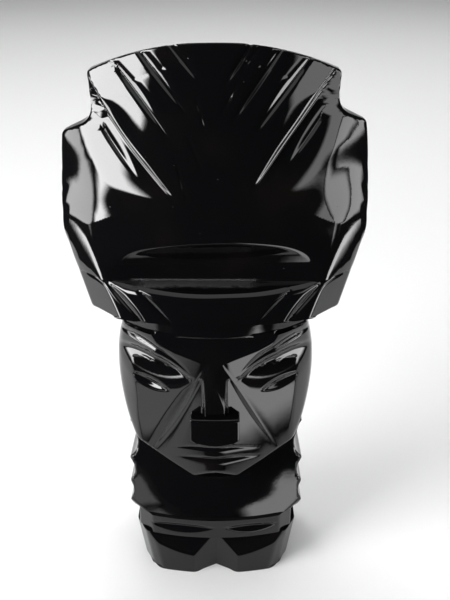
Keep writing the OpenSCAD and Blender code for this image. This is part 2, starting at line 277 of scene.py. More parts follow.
def either(a, b, edge=0.35):
    """Stone inside a or b, with a small fillet where they meet."""
    near = np.maximum(edge - np.abs(a - b), 0)
    return np.minimum(a, b) - near * near / (4 * edge)


# %% [markdown]
# ## V grooves
# Most lines on the figure were cut with the V-shaped rim of a wheel. Such a cut is deepest at its
# middle and runs out at both ends, so from the front it looks like a thin leaf.

# %% V grooves


def arc_place(u, v, ends, bend):
    """Place of points along a shallow arc: distance s from its middle along the chord, and
    distance q to the side, the arc bowing sideways by bend at its middle."""
    (u0, v0), (u1, v1) = ends
    length = sqrt((u1 - u0) ** 2 + (v1 - v0) ** 2)
    du, dv = (u1 - u0) / length, (v1 - v0) / length
    a, b = u - (u0 + u1) / 2, v - (v0 + v1) / 2
    s = a * du + b * dv
    q = -a * dv + b * du - bend * (1 - (2 * s / length) ** 2)
    return s, q, length


def groove(stone_f, base, u, v, ends, depth, wide, narrow, bend=0.0, soft=0.6):
    """Cut a V groove. Its depth follows one minus the square of the place along it, and its two
    walls fall from the base surface over the widths wide (to the left of its run) and narrow. Rim
    and valley are rounded over soft, or over half the depth where that is less."""
    s, q, length = arc_place(u, v, ends, bend)
    t = np.clip(2 * s / length, -1.6, 1.6)
    room = depth * (1 - t * t) + base
    left, right = wide / depth, narrow / depth
    edge = min(soft, 0.5 * depth)
    wall = both((q - left * room) / sqrt(1 + left * left),
                (-q - right * room) / sqrt(1 + right * right), edge)
    return both(stone_f, -wall, edge)


# %% [markdown]
# ## From distances to a mesh
# Rays start on a cage around the piece and run straight in to a small box inside it. Where the
# distance turns negative they have met the stone. Four neighbouring rays give one vertex, placed
# where the four tangent planes meet, so the facets stay flat and their edges stay sharp.

# %% Ray cage


def spread(segments):
    """Join stretches of (start, end, count) into one row of values, the last end left out."""
    return np.concatenate([np.linspace(a, b, n, endpoint=False) for a, b, n in segments])


def cage(half_x, front, back, low, high, counts):
    """Rays of a rounded box. Round the plan they start on a rectangle that may change with height
    and fan out at its corners; up the side they fan over the rims and close over both caps.
    counts holds the numbers: front, side, back, corner; cap, low rim, wall, high rim."""
    n_front, n_side, n_back, n_corner, n_cap, n_low, n_wall, n_high = counts
    quarter = pi / 2
    ux = spread([(-1, 1, n_front), (1, 1, n_corner), (1, 1, n_side), (1, 1, n_corner),
                 (1, -1, n_back), (-1, -1, n_corner), (-1, -1, n_side), (-1, -1, n_corner)])
    uy = spread([(0, 0, n_front), (0, 0, n_corner), (0, 1, n_side), (1, 1, n_corner),
                 (1, 1, n_back), (1, 1, n_corner), (1, 0, n_side), (0, 0, n_corner)])
    turn = spread([(-1, -1, n_front), (-1, 0, n_corner), (0, 0, n_side), (0, 1, n_corner),
                   (1, 1, n_back), (1, 2, n_corner), (2, 2, n_side), (2, 3, n_corner)]) * quarter
    keep = spread([(0, 1, n_cap), (1, 1, n_low), (1, 1, n_wall), (1, 1, n_high), (1, 0, n_cap)])
    tilt = spread([(-1, -1, n_cap), (-1, 0, n_low), (0, 0, n_wall), (0, 1, n_high), (1, 1, n_cap)])
    rise = spread([(0, 0, n_cap), (0, 0, n_low), (0, 1, n_wall), (1, 1, n_high), (1, 1, n_cap)])
    keep, tilt, rise = np.append(keep, 0.0), np.append(tilt, 1.0) * quarter, np.append(rise, 1.0)
    z = low + rise * (high - low)
    hx, yf, yb = half_x(z), front(z), back(z)
    mid = (yf + yb) / 2
    x = ux[None, :] * (hx * keep)[:, None]
    y = mid[:, None] + ((yf - mid)[:, None] + uy[None, :] * (yb - yf)[:, None]) * keep[:, None]
    start = np.stack([x, y, np.broadcast_to(z[:, None], x.shape)], -1)
    way = np.stack([np.cos(tilt)[:, None] * np.cos(turn)[None, :],
                    np.cos(tilt)[:, None] * np.sin(turn)[None, :],
                    np.broadcast_to(np.sin(tilt)[:, None], x.shape)], -1)
    return start, way


STRIDE, SHORTEST_STEP, MOST_STEPS = 0.93, 0.012, 140
HALVINGS = 11
FEELER = 0.012


def strike(f, start, way, reach):
    """Walk each ray in from its far end, by the distance to the stone, until it is met; then halve
    the last step again and again. Gives the points met and the outward normals there."""
    s, w_ = start.reshape(-1, 3), way.reshape(-1, 3)
    t = np.full(len(s), float(reach))
    outer = t.copy()
    live = np.arange(len(s))
    for _ in range(MOST_STEPS):
        if not len(live):
            break
        d = f(s[live] + w_[live] * t[live, None])
        met = d < 0
        walking = live[~met]
        outer[walking] = t[walking]
        t[walking] = np.maximum(t[walking] - np.maximum(d[~met] * STRIDE, SHORTEST_STEP), 0)
        live = walking[t[walking] > 0]
    inner = t.copy()
    for _ in range(HALVINGS):
        half = (inner + outer) / 2
        inside = f(s + w_ * half[:, None]) < 0
        inner = np.where(inside, half, inner)
        outer = np.where(inside, outer, half)
    hit = s + w_ * ((inner + outer) / 2)[:, None]
    n = np.stack([f(hit + e) - f(hit - e) for e in np.eye(3) * FEELER], 1)
    n /= np.maximum(np.linalg.norm(n, axis=1, keepdims=True), 1e-9)
    return hit.reshape(start.shape), n.reshape(start.shape)


# %% [markdown]
# ## One closed mesh per piece
# The rays form a grid that closes at two poles, so the mesh has no open seam. Each vertex goes
# where its four tangent planes meet, and the shading normals come from the stone itself, so that
# broad facets reflect flat and a polished edge turns softly.

# %% Mesh from the rays
PULL_TO_MIDDLE = 0.03
SAME_FACET = radians(55)


def shell(name, f, rays, reach, node):
    """One closed mesh. Each cell of four rays gives the point that lies nearest to its four tangent
    planes, found from a 3 by 3 system per cell; each ray gives the face between its four cells."""
    began = time.time()
    start, way = rays
    hit, nor = strike(f, start, way, reach)
    rows, cols = hit.shape[:2]
    roll = lambda a: np.roll(a, -1, axis=1)
    corner_p = np.stack([hit[:-1], roll(hit)[:-1], hit[1:], roll(hit)[1:]], 2)
    corner_n = np.stack([nor[:-1], roll(nor)[:-1], nor[1:], roll(nor)[1:]], 2)
    middle = corner_p.mean(2)
    a = np.einsum("rcki,rckj->rcij", corner_n, corner_n) + PULL_TO_MIDDLE * np.eye(3)
    offset = corner_p - middle[:, :, None]
    b = np.einsum("rcki,rck->rci", corner_n, np.einsum("rcki,rcki->rck", corner_n, offset))
    move = np.linalg.solve(a, b[..., None])[..., 0]
    size = np.linalg.norm(offset, axis=-1).max(-1)
    far = np.linalg.norm(move, axis=-1)
    move *= np.minimum(1, size / np.maximum(far, 1e-9))[..., None]
    verts = (middle + move).reshape(-1, 3)
    # a ray's face joins the cells around it, in the order that turns it outwards
    i, j = np.meshgrid(np.arange(1, rows - 1), np.arange(cols), indexing="ij")
    back = (j - 1) % cols
    quads = np.stack([(i - 1) * cols + back, (i - 1) * cols + j, i * cols + j, i * cols + back], -1)
    quads = quads.reshape(-1, 4)
    ring = np.arange(cols)
    low_pole, high_pole = len(verts), len(verts) + 1
    verts = np.vstack([verts, hit[0, 0], hit[-1, 0]])
    low_fan = np.stack([np.full(cols, low_pole), np.roll(ring, -1), ring], -1)
    top = (rows - 2) * cols
    high_fan = np.stack([np.full(cols, high_pole), top + ring, top + np.roll(ring, -1)], -1)
    mesh = bpy.data.meshes.new(name)
    loops = np.concatenate([quads.ravel(), low_fan.ravel(), high_fan.ravel()])
    sizes = np.concatenate([np.full(len(quads), 4), np.full(2 * cols, 3)])
    mesh.vertices.add(len(verts))
    mesh.vertices.foreach_set("co", (verts * MM).ravel())
    mesh.loops.add(len(loops))
    mesh.loops.foreach_set("vertex_index", loops.astype(np.int32))
    mesh.polygons.add(len(sizes))
    first = np.concatenate([[0], np.cumsum(sizes)[:-1]])
    mesh.polygons.foreach_set("loop_start", first.astype(np.int32))
    mesh.polygons.foreach_set("use_smooth", np.ones(len(sizes), bool))
    mesh.update(calc_edges=True)
    mesh.validate()
    # shading normals: the stone's own, averaged over the rays round a vertex on the same facet
    face_n = nor[1:-1].reshape(-1, 3)
    flat_n = corner_n.reshape(-1, 4, 3)
    around = flat_n[quads]
    alike = np.einsum("fvki,fi->fvk", around, face_n)
    weight = np.clip((alike - cos(SAME_FACET)) / (1 - cos(SAME_FACET)), 0, 1) + 1e-6
    own = np.einsum("fvk,fvki->fvi", weight, around)
    own /= np.maximum(np.linalg.norm(own, axis=-1, keepdims=True), 1e-9)
    caps = np.vstack([np.tile(nor[0, 0], (3 * cols, 1)), np.tile(nor[-1, 0], (3 * cols, 1))])
    if len(mesh.loops) == len(loops):
        mesh.normals_split_custom_set(np.vstack([own.reshape(-1, 3), caps]))
    piece = bpy.data.objects.new(name, mesh)
    bpy.context.scene.collection.objects.link(piece)
    mesh.materials.append(stone)
    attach(piece, "root")
    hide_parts(node)
    print(f"{name}: {len(sizes)} faces, {time.time() - began:.1f} s")


# %% Ray counts and profiles
FINE = 1.0


def numbers(*counts):
    """Ray counts, scaled by FINE, at least four each."""
    return [max(4, int(n * FINE)) for n in counts]


def profile(*knots):
    """A value that runs straight from knot to knot, each a height and a value."""
    heights, values = zip(*knots)
    return lambda z: np.interp(z, heights, values)


def flat_value(v):
    """The same value at any height."""
    return profile((0, v))


# %% [markdown]
# ## The headdress blank
# Fan and headband share one blank: a slab with a convex front that leans back, bevelled corners
# and splayed sides. Hand polishing leaves it very slightly wavy, which bends the reflections.

# %% Waviness of hand polishing


def waver(p, size, seed=0.0):
    """Sum of four slow sine waves in slanting directions, at most size high."""
    x, y, z = p[:, 0], p[:, 1], p[:, 2]
    return size * 0.25 * (np.sin(0.21 * x + 0.17 * z + seed)
                          + np.sin(0.13 * z - 0.29 * x + 1.7 * seed)
                          + np.sin(0.33 * z + 0.11 * y + 2.3 * seed)
                          + np.sin(0.17 * x - 0.24 * y + 0.31 * z + seed))


# %% Blank
LEAN = radians(15)
FRONT_R, FRONT_Y = 90.0, -28.5
UP = (0, sin(LEAN), cos(LEAN))
BACK_R, BACK_Y, BACK_LEAN = 260.0, 17.0, radians(6)
HALF_WIDTH, SIDE_R, WIDEST_Z = 53.4, 195, 148
TOP_R, TOP_SLOPE = 91, radians(36)
BEVEL_X, BEVEL_TURN = 32, radians(48)
CORNER_X, CORNER_TURN, CORNER_SLOPE = 43.5, radians(77), radians(16)
SHOULDERS = {-1: 25.0, 1: 21.5}
SHOULDER_X, SHOULDER_FILLET = 42.3, 5.0
WAVE = 0.24


def front_skin(p):
    """Convex leaning front: a cylinder whose axis leans back with it."""
    return drum(p, (0, FRONT_Y + FRONT_R / cos(LEAN), FAN_Z), UP, FRONT_R)


def front(p):
    """The front as polishing left it, slightly wavy."""
    return front_skin(p) + waver(p, WAVE)


def front_y(x, z):
    """y of the leaning front over a point of the elevation."""
    return FRONT_Y + (z - FAN_Z) * tan(LEAN) + (FRONT_R - np.sqrt(FRONT_R ** 2 - x * x)) / cos(LEAN)


def headdress(p):
    """Front, back, arched top and bowed sides, then the bevels and the two shoulders."""
    x, z = p[:, 0], p[:, 2]
    f = front(p)
    f = both(f, drum(p, (0, BACK_Y - BACK_R / cos(BACK_LEAN), FAN_Z),
                     (0, -sin(BACK_LEAN), cos(BACK_LEAN)), BACK_R), 1.5)
    side = np.hypot(np.abs(x) + SIDE_R - HALF_WIDTH, z - WIDEST_Z) - SIDE_R
    f = both(f, side, 0.8)
    f = both(f, np.hypot(x, z - (TOP_Z - TOP_R)) - TOP_R, 0.5)
    f = both(f, lap(p, (0, front_y(0, TOP_Z), TOP_Z), (0, sin(TOP_SLOPE), cos(TOP_SLOPE))), 0.5)
    mirrored = np.stack([np.abs(x), p[:, 1], z], 1)
    bevel_y = front_y(BEVEL_X, BAND_Z)
    f = both(f, lap(mirrored, (BEVEL_X, bevel_y, BAND_Z),
                    (sin(BEVEL_TURN), -cos(BEVEL_TURN), -0.04)), 0.4)
    corner_y = bevel_y + (CORNER_X - BEVEL_X) * tan(BEVEL_TURN)
    f = both(f, lap(mirrored, (CORNER_X, corner_y, BAND_Z),
                    (sin(CORNER_TURN), -cos(CORNER_TURN), -tan(CORNER_SLOPE))), 0.6)
    for s, drop in SHOULDERS.items():
        one_side = np.stack([s * x, p[:, 1], z], 1)
        tier = lap(one_side, (SHOULDER_X, 0, TOP_Z - 11), (1, 0, -0.11))
        step = lap(one_side, (52.5, 0, TOP_Z - drop - 6), (0.42, 0, 0.91))
        near = np.maximum(SHOULDER_FILLET - np.abs(tier - step), 0)
        notch = np.minimum(tier, step) - near * near / (4 * SHOULDER_FILLET)
        f = both(f, notch, 1.2)
    return f


# %% [markdown]
# ## Flutes
# The fan's feathers are V grooves that spread from its foot. The wall nearer the middle is wide and
# catches the light, the outer wall is narrow. Every groove is a little different, as hands left it.

# %% Feather grooves
# ends in (x, z), then depth, width of the wall nearer the middle, width of the outer wall, bow
FEATHERS = {
    "left outer": ((-37.5, 198.0), (-14.5, 170.0), 1.3, 2.8, 1.1, 0.35),
    "left middle": ((-30.0, 203.0), (-8.4, 177.0), 1.3, 2.7, 1.1, 0.35),
    "left inner": ((-18.0, 203.0), (-3.8, 186.5), 1.0, 2.1, 0.8, 0.2),
    "left inner foot": ((-6.6, 185.5), (-2.8, 172.5), 0.4, 0.8, 0.6, 0.0),
    "left low": ((-13.8, 166.5), (-7.6, 145.5), 0.45, 1.0, 0.6, 0.3),
    "left low inner": ((-10.6, 175.0), (-3.4, 158.5), 0.4, 0.8, 0.6, 0.2),
    "right outer": ((36.5, 200.0), (10.5, 168.5), 1.3, 2.8, 1.1, -0.35),
    "right middle": ((27.0, 204.0), (4.5, 173.5), 1.3, 2.7, 1.1, -0.35),
    "right inner": ((17.6, 202.0), (8.2, 190.4), 0.5, 1.2, 0.6, 0.0),
    "right heart": ((14.5, 203.0), (3.0, 186.0), 1.0, 2.1, 0.8, 0.0),
    "right low": ((7.8, 188.0), (0.6, 174.8), 0.45, 0.9, 0.6, 0.0),
}
# the upper tier's edge on each side: top and foot as (distance from the middle, z), and its bow;
# then the same for the thin flute that runs beside it on the lobe
TIERS = {
    -1: (((45.5, 192.0), (12.5, 151.0)), 2.0, ((40.9, 178.0), (26.4, 158.4)), 0.6),
    1: (((44.0, 195.0), (12.0, 154.0)), 0.0, ((40.2, 182.0), (25.0, 162.0)), 0.3),
}
TIER_DEPTH, TIER_RAMP, TIER_RISER = 2.4, 13.0, 1.5
THIN_FLUTE = (0.8, 0.8, 1.9)


def carve_feathers(f, p):
    """Cut every feather into the leaning front, in the coordinates of the elevation."""
    x, z = p[:, 0], p[:, 2]
    skin = front(p)
    for (start, end, depth, wide, narrow, bend) in FEATHERS.values():
        left_side = start[0] < 0
        walls = (wide, narrow) if left_side else (narrow, wide)
        f = groove(f, skin, x, z, (start, end), depth, walls[0], walls[1], bend)
    for s, (ends, bow, flute_ends, flute_bow) in TIERS.items():
        sx = s * x
        # the upper tier stands over the lobe: steep riser, long ramp outwards
        f = groove(f, skin, sx, z, ends, TIER_DEPTH, TIER_RAMP, TIER_RISER, bow, 0.7)
        # the thin flute is cut into the ramp, so its depth is measured from there
        along, aside, length = arc_place(sx, z, ends, bow)
        sink = TIER_DEPTH * (1 - (2 * along / length) ** 2 - aside / TIER_RAMP)
        ramp = skin + np.maximum(sink, 0)
        f = groove(f, ramp, sx, z, flute_ends, *THIN_FLUTE, flute_bow)
    return f


# %% [markdown]
# ## Lobes
# Below each shoulder the fan widens into a lobe. A leaf-shaped facet follows its rim, ground with
# the side of a wheel, and a flat lap takes off the outer edge.

# %% Lobes
LEAF_ENDS, LEAF_BOW = ((51.5, 178.0), (37.5, 143.0)), 3.0
LEAF_SINK, LEAF_RUN = 1.5, 9.5
RIM_X, RIM_Z = 46.6, 158.0


def lobes(f, p):
    """A leaf-shaped facet on each lobe, sunk a little more the further out it lies and fading at
    both ends; beyond it a flat lap, turned outwards, takes off the lobe's outer edge."""
    m = np.stack([np.abs(p[:, 0]), p[:, 1], p[:, 2]], 1)
    s, q, length = arc_place(m[:, 0], m[:, 2], LEAF_ENDS, LEAF_BOW)
    sink = LEAF_SINK * np.maximum(1 - (2 * s / length) ** 2, 0)
    leaf = (front(p) + sink * (1 + q / LEAF_RUN)) / np.sqrt(1 + (sink / LEAF_RUN) ** 2)
    f = both(f, leaf, 0.5)
    outer = lap(m, (RIM_X, front_y(RIM_X, RIM_Z) + 0.3, RIM_Z), (0.66, -0.735, 0.15))
    return both(f, outer, 0.9)


# %% [markdown]
# ## Fan
# The fan stands on the headband. A horizontal drum has hollowed its foot, which leaves a ledge
# above the band. The piece is the blank with its feathers and lobes, cut off level at the seam.

# %% Fan
SCOOP_R, SCOOP_RISE, LEDGE_DEPTH = 13.0, 4.5, 8.4
SCOOP_Y = FRONT_Y + LEDGE_DEPTH - sqrt(SCOOP_R ** 2 - SCOOP_RISE ** 2)


def fan(p):
    """Blank above the ledge, with feathers, lobes and the scoop at its foot."""
    f = headdress(p)
    f = lobes(f, p)
    f = carve_feathers(f, p)
    f = both(f, -drum(p, (0, SCOOP_Y, FAN_Z + SCOOP_RISE), (1, 0, 0.02), SCOOP_R), 0.9)
    return np.maximum(f, FAN_Z - p[:, 2])


fan_rays = cage(profile((124, 34), (150, 42), (167, 40), (174, 35), (192, 27)),
                profile((124, -14), (192, -1.5)), profile((124, 8), (192, 3)), 123.5, 192,
                numbers(310, 8, 50, 14, 8, 8, 170, 30))
shell("fan", fan, fan_rays, 34, "crest")

# %% [markdown]
# ## Headband
# The band carries on the fan's front below the ledge. Two slanting grooves mark each end of it,
# and the ledge on top slopes gently forward.

# %% Headband
LEDGE_SLOPE = radians(13)
# ends as (distance from the middle, z), then depth and the widths of the two walls
BAND_MARKS = (
    (((30.5, 125.5), (10.5, 107.5)), 0.9, 1.0, 1.9),
    (((42.0, 127.5), (21.0, 107.5)), 1.2, 1.1, 2.4),
)


def headband(p):
    """Blank between the two seams, less the ledge and the slanting grooves."""
    x, z = p[:, 0], p[:, 2]
    f = headdress(p)
    f = lobes(f, p)
    ledge = lap(p, (0, FRONT_Y + LEDGE_DEPTH, FAN_Z), (0, -sin(LEDGE_SLOPE), cos(LEDGE_SLOPE)))
    f = both(f, ledge, 2.4)
    skin = front(p)
    for s in (-1, 1):
        for mark in BAND_MARKS:
            f = groove(f, skin, s * x, z, *mark)
    return np.maximum(np.maximum(f, z - FAN_Z), BAND_Z - z)


band_rays = cage(flat_value(34), flat_value(-14), flat_value(8), 111.4, 121.5,
                 numbers(300, 40, 60, 30, 16, 6, 44, 16))
shell("headband", headband, band_rays, 40, "brow_band")

# %% [markdown]
# ## Head
# The face is all facets: a forehead that leans back and runs down into the nose as one T, cheeks
# cut in flat beside it, a jaw bevelled round its front, and eyes ground with the rim of a wheel.

# %% Head
BROW_Z = BAND_Z - 18.5
CHEEK_R = 60.0
HEAD_HALF = 35.5
PLAN_R = 40.0
NECK_TILT, NECK_Z = radians(24.5), 57.0
CHIN, CHIN_SLOPE = (0, -27, 44.2), radians(34)
# every groove: its ends, depth, the widths of its left and right wall, then bow and rounding
CREASE = (((2.0, BROW_Z + 6), (26.0, 53.0)), 0.5, 2.4, 1.6)
LIPS = (
    (((-15.5, 61.8), (14.5, 61.8)), 0.5, 0.7, 1.5, 1.8),
    (((-13.5, 58.2), (14.5, 58.2)), 0.8, 1.0, 1.7, 0.6),
)
# socket, brow line and lower lid, along the round of the head
EYE = (
    (((10.0, 90.8), (41.5, 97.0)), 2.3, 2.6, 9.5, 3.6, 1.2),
    (((11.0, 94.4), (42.0, 103.2)), 1.0, 2.3, 1.2, 3.9),
    (((18.8, 84.4), (33.4, 88.4)), 1.2, 2.3, 1.6, -0.5),
)


def above_neck(p):
    """Height over the seam between head and body, a plane that falls towards the front."""
    return (p[:, 2] - NECK_Z - tan(NECK_TILT) * p[:, 1]) * cos(NECK_TILT)


def face_skin(p):
    """Rounded front of the head: a standing cylinder."""
    return np.hypot(p[:, 0], p[:, 1] - (FACE_Y + PLAN_R)) - PLAN_R


def head(p):
    """Outline, face, back and jaw first; then cheeks, eyes and mouth."""
    x, y, z = p[:, 0], p[:, 1], p[:, 2]
    ax = np.abs(x)
    m = np.stack([ax, y, z], 1)
    outline = np.hypot(ax + CHEEK_R - HEAD_HALF, z - (BAND_Z - 23)) - CHEEK_R
    nape = y - 18 + 0.006 * x * x
    f = both(face_skin(p) + waver(p, 0.15, 1.0), outline, 2.0)
    f = both(f, nape, 6.0)
    # forehead: middle plane, and two turned a little outwards
    below = both(f, lap(p, (0, FACE_Y + 0.2, BROW_Z), (0, -0.965, 0.262)), 0.4)
    below = both(below, lap(m, (4.2, FACE_Y + 0.2, BROW_Z), (0.12, -0.957, 0.262)), 0.3)
    # cheeks, outside and inside the crease
    outside = lap(m, (4.6, -32.0, BROW_Z), (0.285, -0.958, -0.012))
    inside = lap(m, (4.6, -32.0, BROW_Z), (0.40, -0.916, 0.03))
    face = both(both(outside, inside, 0.3), -32.5 - y, 0.8)
    bridge = np.maximum(lap(m, (3.4, -34.0, BROW_Z), (0.93, -0.36, 0.0)), 73.0 - z)
    brow = lap(m, (0, -32.6, BROW_Z - 1.0), (0.02, -0.25, 0.97))
    below = both(below, either(either(face, bridge, 0.6), -brow, 1.2), 0.3)
    # crease from the bridge to the corner of the jaw, then the lips
    below = groove(below, face, ax, z, *CREASE)
    for lip in LIPS:
        below = groove(below, face, x, z, *lip)
    # eyes, measured round the head
    u = np.arctan2(ax, PLAN_R + FACE_Y - y) * PLAN_R
    plain = below
    for cut in EYE:
        below = groove(below, plain, u, z, *cut)
    # a plain strip is left standing under the headband
    below = np.maximum(below, z - (BAND_Z - 4.5))
    strip = both(both(np.hypot(x, y - (-31 + 44)) - 44, outline, 1.5), nape, 6.0)
    f = either(below, np.maximum(strip, (BAND_Z - 4.9) - z), 0.4)
    # jaw: two slanting laps run together round the chin, and a bevel under the lip
    slant = (sin(CHIN_SLOPE), -0.30, -cos(CHIN_SLOPE))
    jaw = both(lap(p, CHIN, slant), lap(p, CHIN, (-slant[0], slant[1], slant[2])), 9.0)
    f = both(f, jaw, 0.6)
    f = both(f, lap(p, (0, -31.6, 52.6), (0, -0.80, -0.60)), 0.4)
    return np.maximum(np.maximum(f, z - BAND_Z), -above_neck(p))


head_rays = cage(profile((50, 3), (58, 9), (70, 18), (84, 24)),
                 profile((50, -24), (62, -20), (70, -18)),
                 profile((50, -19), (60, 0), (66, 4)), 50, 110,
                 numbers(236, 20, 40, 44, 8, 14, 150, 4))
shell("face_and_head", head, head_rays, 44, "head")

# %% [markdown]
# ## Nose block
# The tip of the nose is a small block that stands out from the cheeks. It is carved as a piece of
# its own, sunk into the face, because rays that run straight in to the head would miss its sides.

# %% Nose block
NOSE_HALF, NOSE_Y, NOSE_BACK = 8.6, -36.4, -28.5
NOSE_LOW, NOSE_HIGH = 67.5, 77.5


def nose(p):
    """A block with a bevelled top, a front of three facets and trimmed lower corners."""
    x, y, z = p[:, 0], p[:, 1], p[:, 2]
    m = np.stack([np.abs(x), y, z], 1)
    f = both(np.abs(x) - NOSE_HALF, NOSE_Y - y, 0.5)
    f = both(f, lap(m, (3.5, NOSE_Y, 74), (0.10, -0.995, 0)), 0.4)
    f = both(f, lap(p, (0, NOSE_Y, NOSE_HIGH), (0, -0.08, 0.99)), 0.8)
    f = both(f, NOSE_LOW - z, 0.5)
    f = both(f, lap(m, (NOSE_HALF, -36, 69.0), (0.55, -0.1, -0.83)), 0.5)
    return both(f, y - NOSE_BACK, 0.3)


nose_rays = cage(flat_value(6), flat_value(-34), flat_value(-31), 71, 75,
                 numbers(50, 20, 20, 12, 10, 14, 20, 14))
shell("nose_block", nose, nose_rays, 9, "head")

# %% [markdown]
# ## Body
# The chest leans back from the belt: two planes meet at a faint ridge on a broad round. Its sides
# were scalloped with a drum, three times on each side.

# %% Body
CHEST_LEAN, CHEST_R, CHEST_Y = radians(15), 85, -21
BACK_ROUND = 170
BODY_HALF = 33.4
# height, radius and depth of each scallop
SCALLOPS = ((49.5, 7.5, 3.2), (38.2, 5.5, 1.9), (29.8, 5.5, 1.3))


def body(p):
    """Leaning chest of two planes and a round, scalloped sides, round back, tilted top."""
    x, y, z = p[:, 0], p[:, 1], p[:, 2]
    ax = np.abs(x)
    m = np.stack([ax, y, z], 1)
    f = drum(p, (0, CHEST_Y + CHEST_R / cos(CHEST_LEAN), BODY_Z),
             (0, sin(CHEST_LEAN), cos(CHEST_LEAN)), CHEST_R) + waver(p, 0.05, 2.0)
    f = both(f, lap(p, (2.6, -20.9, BODY_Z), (0.07, -0.964, 0.257)), 0.3)
    f = both(f, lap(p, (2.6, -20.9, BODY_Z), (-0.05, -0.965, 0.257)), 0.3)
    f = both(f, drum(p, (0, 20 - BACK_ROUND, BODY_Z),
                     (0, -sin(radians(4)), cos(radians(4))), BACK_ROUND), 4.0)
    side = ax - BODY_HALF
    for level, radius, depth in SCALLOPS:
        hollow = np.hypot(ax - (BODY_HALF + radius - depth), z - level + 0.12 * y) - radius
        side = both(side, -hollow, 0.8)
    f = both(f, side, 0.5)
    f = both(f, lap(m, (30.5, -19, 30), (0.62, -0.55, -0.56)), 0.5)
    return np.maximum(np.maximum(f, BODY_Z - z), above_neck(p))


body_rays = cage(flat_value(24), profile((25, -14), (46, -8)), flat_value(10), 24.5, 46,
                 numbers(200, 40, 50, 24, 12, 6, 100, 50))
shell("body", body, body_rays, 34, "torso")

# %% [markdown]
# ## Belt
# A plain ring goes round the waist. Two long hollows, ground side by side with a wheel's rim, leave
# a narrow bridge at its middle.

# %% Belt
HOLLOWS = (
    (((-27.0, 20.4), (-0.6, 20.6)), 1.5, 1.3, 2.6),
    (((3.0, 20.6), (24.0, 20.4)), 1.5, 1.3, 2.6),
)


def belt(p):
    """Ring between two seams: round front, bevelled corners, two long hollows."""
    x, y, z = p[:, 0], p[:, 1], p[:, 2]
    ax = np.abs(x)
    m = np.stack([ax, y, z], 1)
    skin = np.hypot(x, y + 22.5 - 85) - 85
    f = both(skin, np.abs(x + 0.4) - 29.8, 1.0)
    f = both(f, drum(p, (0, 21 - BACK_ROUND, 0), (0, 0, 1), BACK_ROUND), 4.0)
    f = both(f, lap(m, (24.0, -19.3, BELT_Z), (0.72, -0.69, 0)), 0.4)
    f = both(f, lap(p, (0, -22.5, BODY_Z), (0, -0.5, 0.86)), 0.3)
    for hollow in HOLLOWS:
        f = groove(f, skin, x, z, *hollow)
    return np.maximum(np.maximum(f, z - BODY_Z), BELT_Z - z)


belt_rays = cage(flat_value(24), flat_value(-14), flat_value(10), 16.4, 23.6,
                 numbers(220, 40, 50, 20, 10, 6, 44, 6))
shell("waist_belt", belt, belt_rays, 26, "belt")

# %% [markdown]
# ## Feet
# One block carries the figure. Its front falls forward as a short skirt and a notch parts the feet;
# both are flat laps, and the sides flare towards the ground.

# %% Feet
GROUND_GAP = 0.02


def feet(p):
    """Foot block: flared sides, skirt falling forward, notch between the feet."""
    x, y, z = p[:, 0], p[:, 1], p[:, 2]
    ax = np.abs(x)
    m = np.stack([ax, y, z], 1)
    f = np.hypot(x, y + 24 - 85) - 85 + waver(p, 0.04, 3.0)
    f = both(f, drum(p, (0, 21 - BACK_ROUND, 0), (0, 0, 1), BACK_ROUND), 4.0)
    f = both(f, lap(p, (0, -23.5, 8.0), (0, -0.848, 0.53)), 0.35)
    f = both(f, lap(m, (28.5, 0, 0), (cos(radians(10)), 0, -sin(radians(10)))), 0.8)
    f = both(f, lap(m, (20.5, -21.5, 0), (0.66, -0.75, -0.1)), 0.5)
    f = both(f, lap(m, (25.5, -16.0, 0), (0.88, -0.45, -0.15)), 0.5)
    notch = lap(m, (0, -18.6, 0), (0.5, 0.866, 0))
    f = both(f, -notch, 0.3)
    return np.maximum(np.maximum(f, z - BELT_Z), GROUND_GAP - z)


feet_rays = cage(flat_value(22), flat_value(-8), flat_value(10), 0.4, 15.6,
                 numbers(220, 40, 50, 24, 10, 6, 80, 6))
shell("feet", feet, feet_rays, 26, "base")

# %% [markdown]
# ## Studio
# A pale sweep of paper runs under the figure and up behind it. It is narrow near the figure. In
# front of the figure the paper's colour is painted dark, a painted shadow in a round spot and
# beyond its front line, because polished stone shows whatever lies there: the fronts have to read
# as black.

# %% Sweep
PAPER_FRONT, PAPER_FLAT, PAPER_BEND, PAPER_TOP = -0.145, 2.4, 0.8, 2.6
# colour of the lit paper, and the dark colour of its painted shadow
PAPER_WHITE, PAPER_PAINTED_SHADOW = (0.88, 0.88, 0.88, 1), (0.02, 0.02, 0.02, 1)
PAINTED_SHADOW_Y, PAINTED_SHADOW_INNER, PAINTED_SHADOW_OUTER = 0.14, 0.048, 0.068
ACROSS = 15
paper, paper_shader, w = new_material("paper")
place = w.node("ShaderNodeTexCoord", out=3)
px, py = [w.node("ShaderNodeSeparateXYZ", None, {0: place}, out=i) for i in range(2)]
# painted shadow: the paper turns dark in a round spot before the figure and in front of its front
# line
from_painted_shadow = w.maths("SQRT", px * px * 0.64 + (py + PAINTED_SHADOW_Y) * (py + PAINTED_SHADOW_Y))
lit = py.ramp(PAPER_FRONT - 0.01, PAPER_FRONT + 0.01) * from_painted_shadow.ramp(PAINTED_SHADOW_INNER, PAINTED_SHADOW_OUTER)
plug(w.mix(lit, PAPER_PAINTED_SHADOW, PAPER_WHITE), paper_shader, "Base Color")
paper_shader.inputs["Roughness"].default_value = 0.9
paper_shader.inputs["Specular IOR Level"].default_value = 0.1
bend = np.linspace(0.05, pi / 2, 12)
run = np.concatenate([np.linspace(PAPER_FRONT - 0.05, PAPER_FLAT, 30),
                      PAPER_FLAT + PAPER_BEND * np.sin(bend), [PAPER_FLAT + PAPER_BEND]])
lift = np.concatenate([np.zeros(30), PAPER_BEND * (1 - np.cos(bend)), [PAPER_TOP]])
half = 0.30 + 0.30 * np.clip(run, 0, 3)
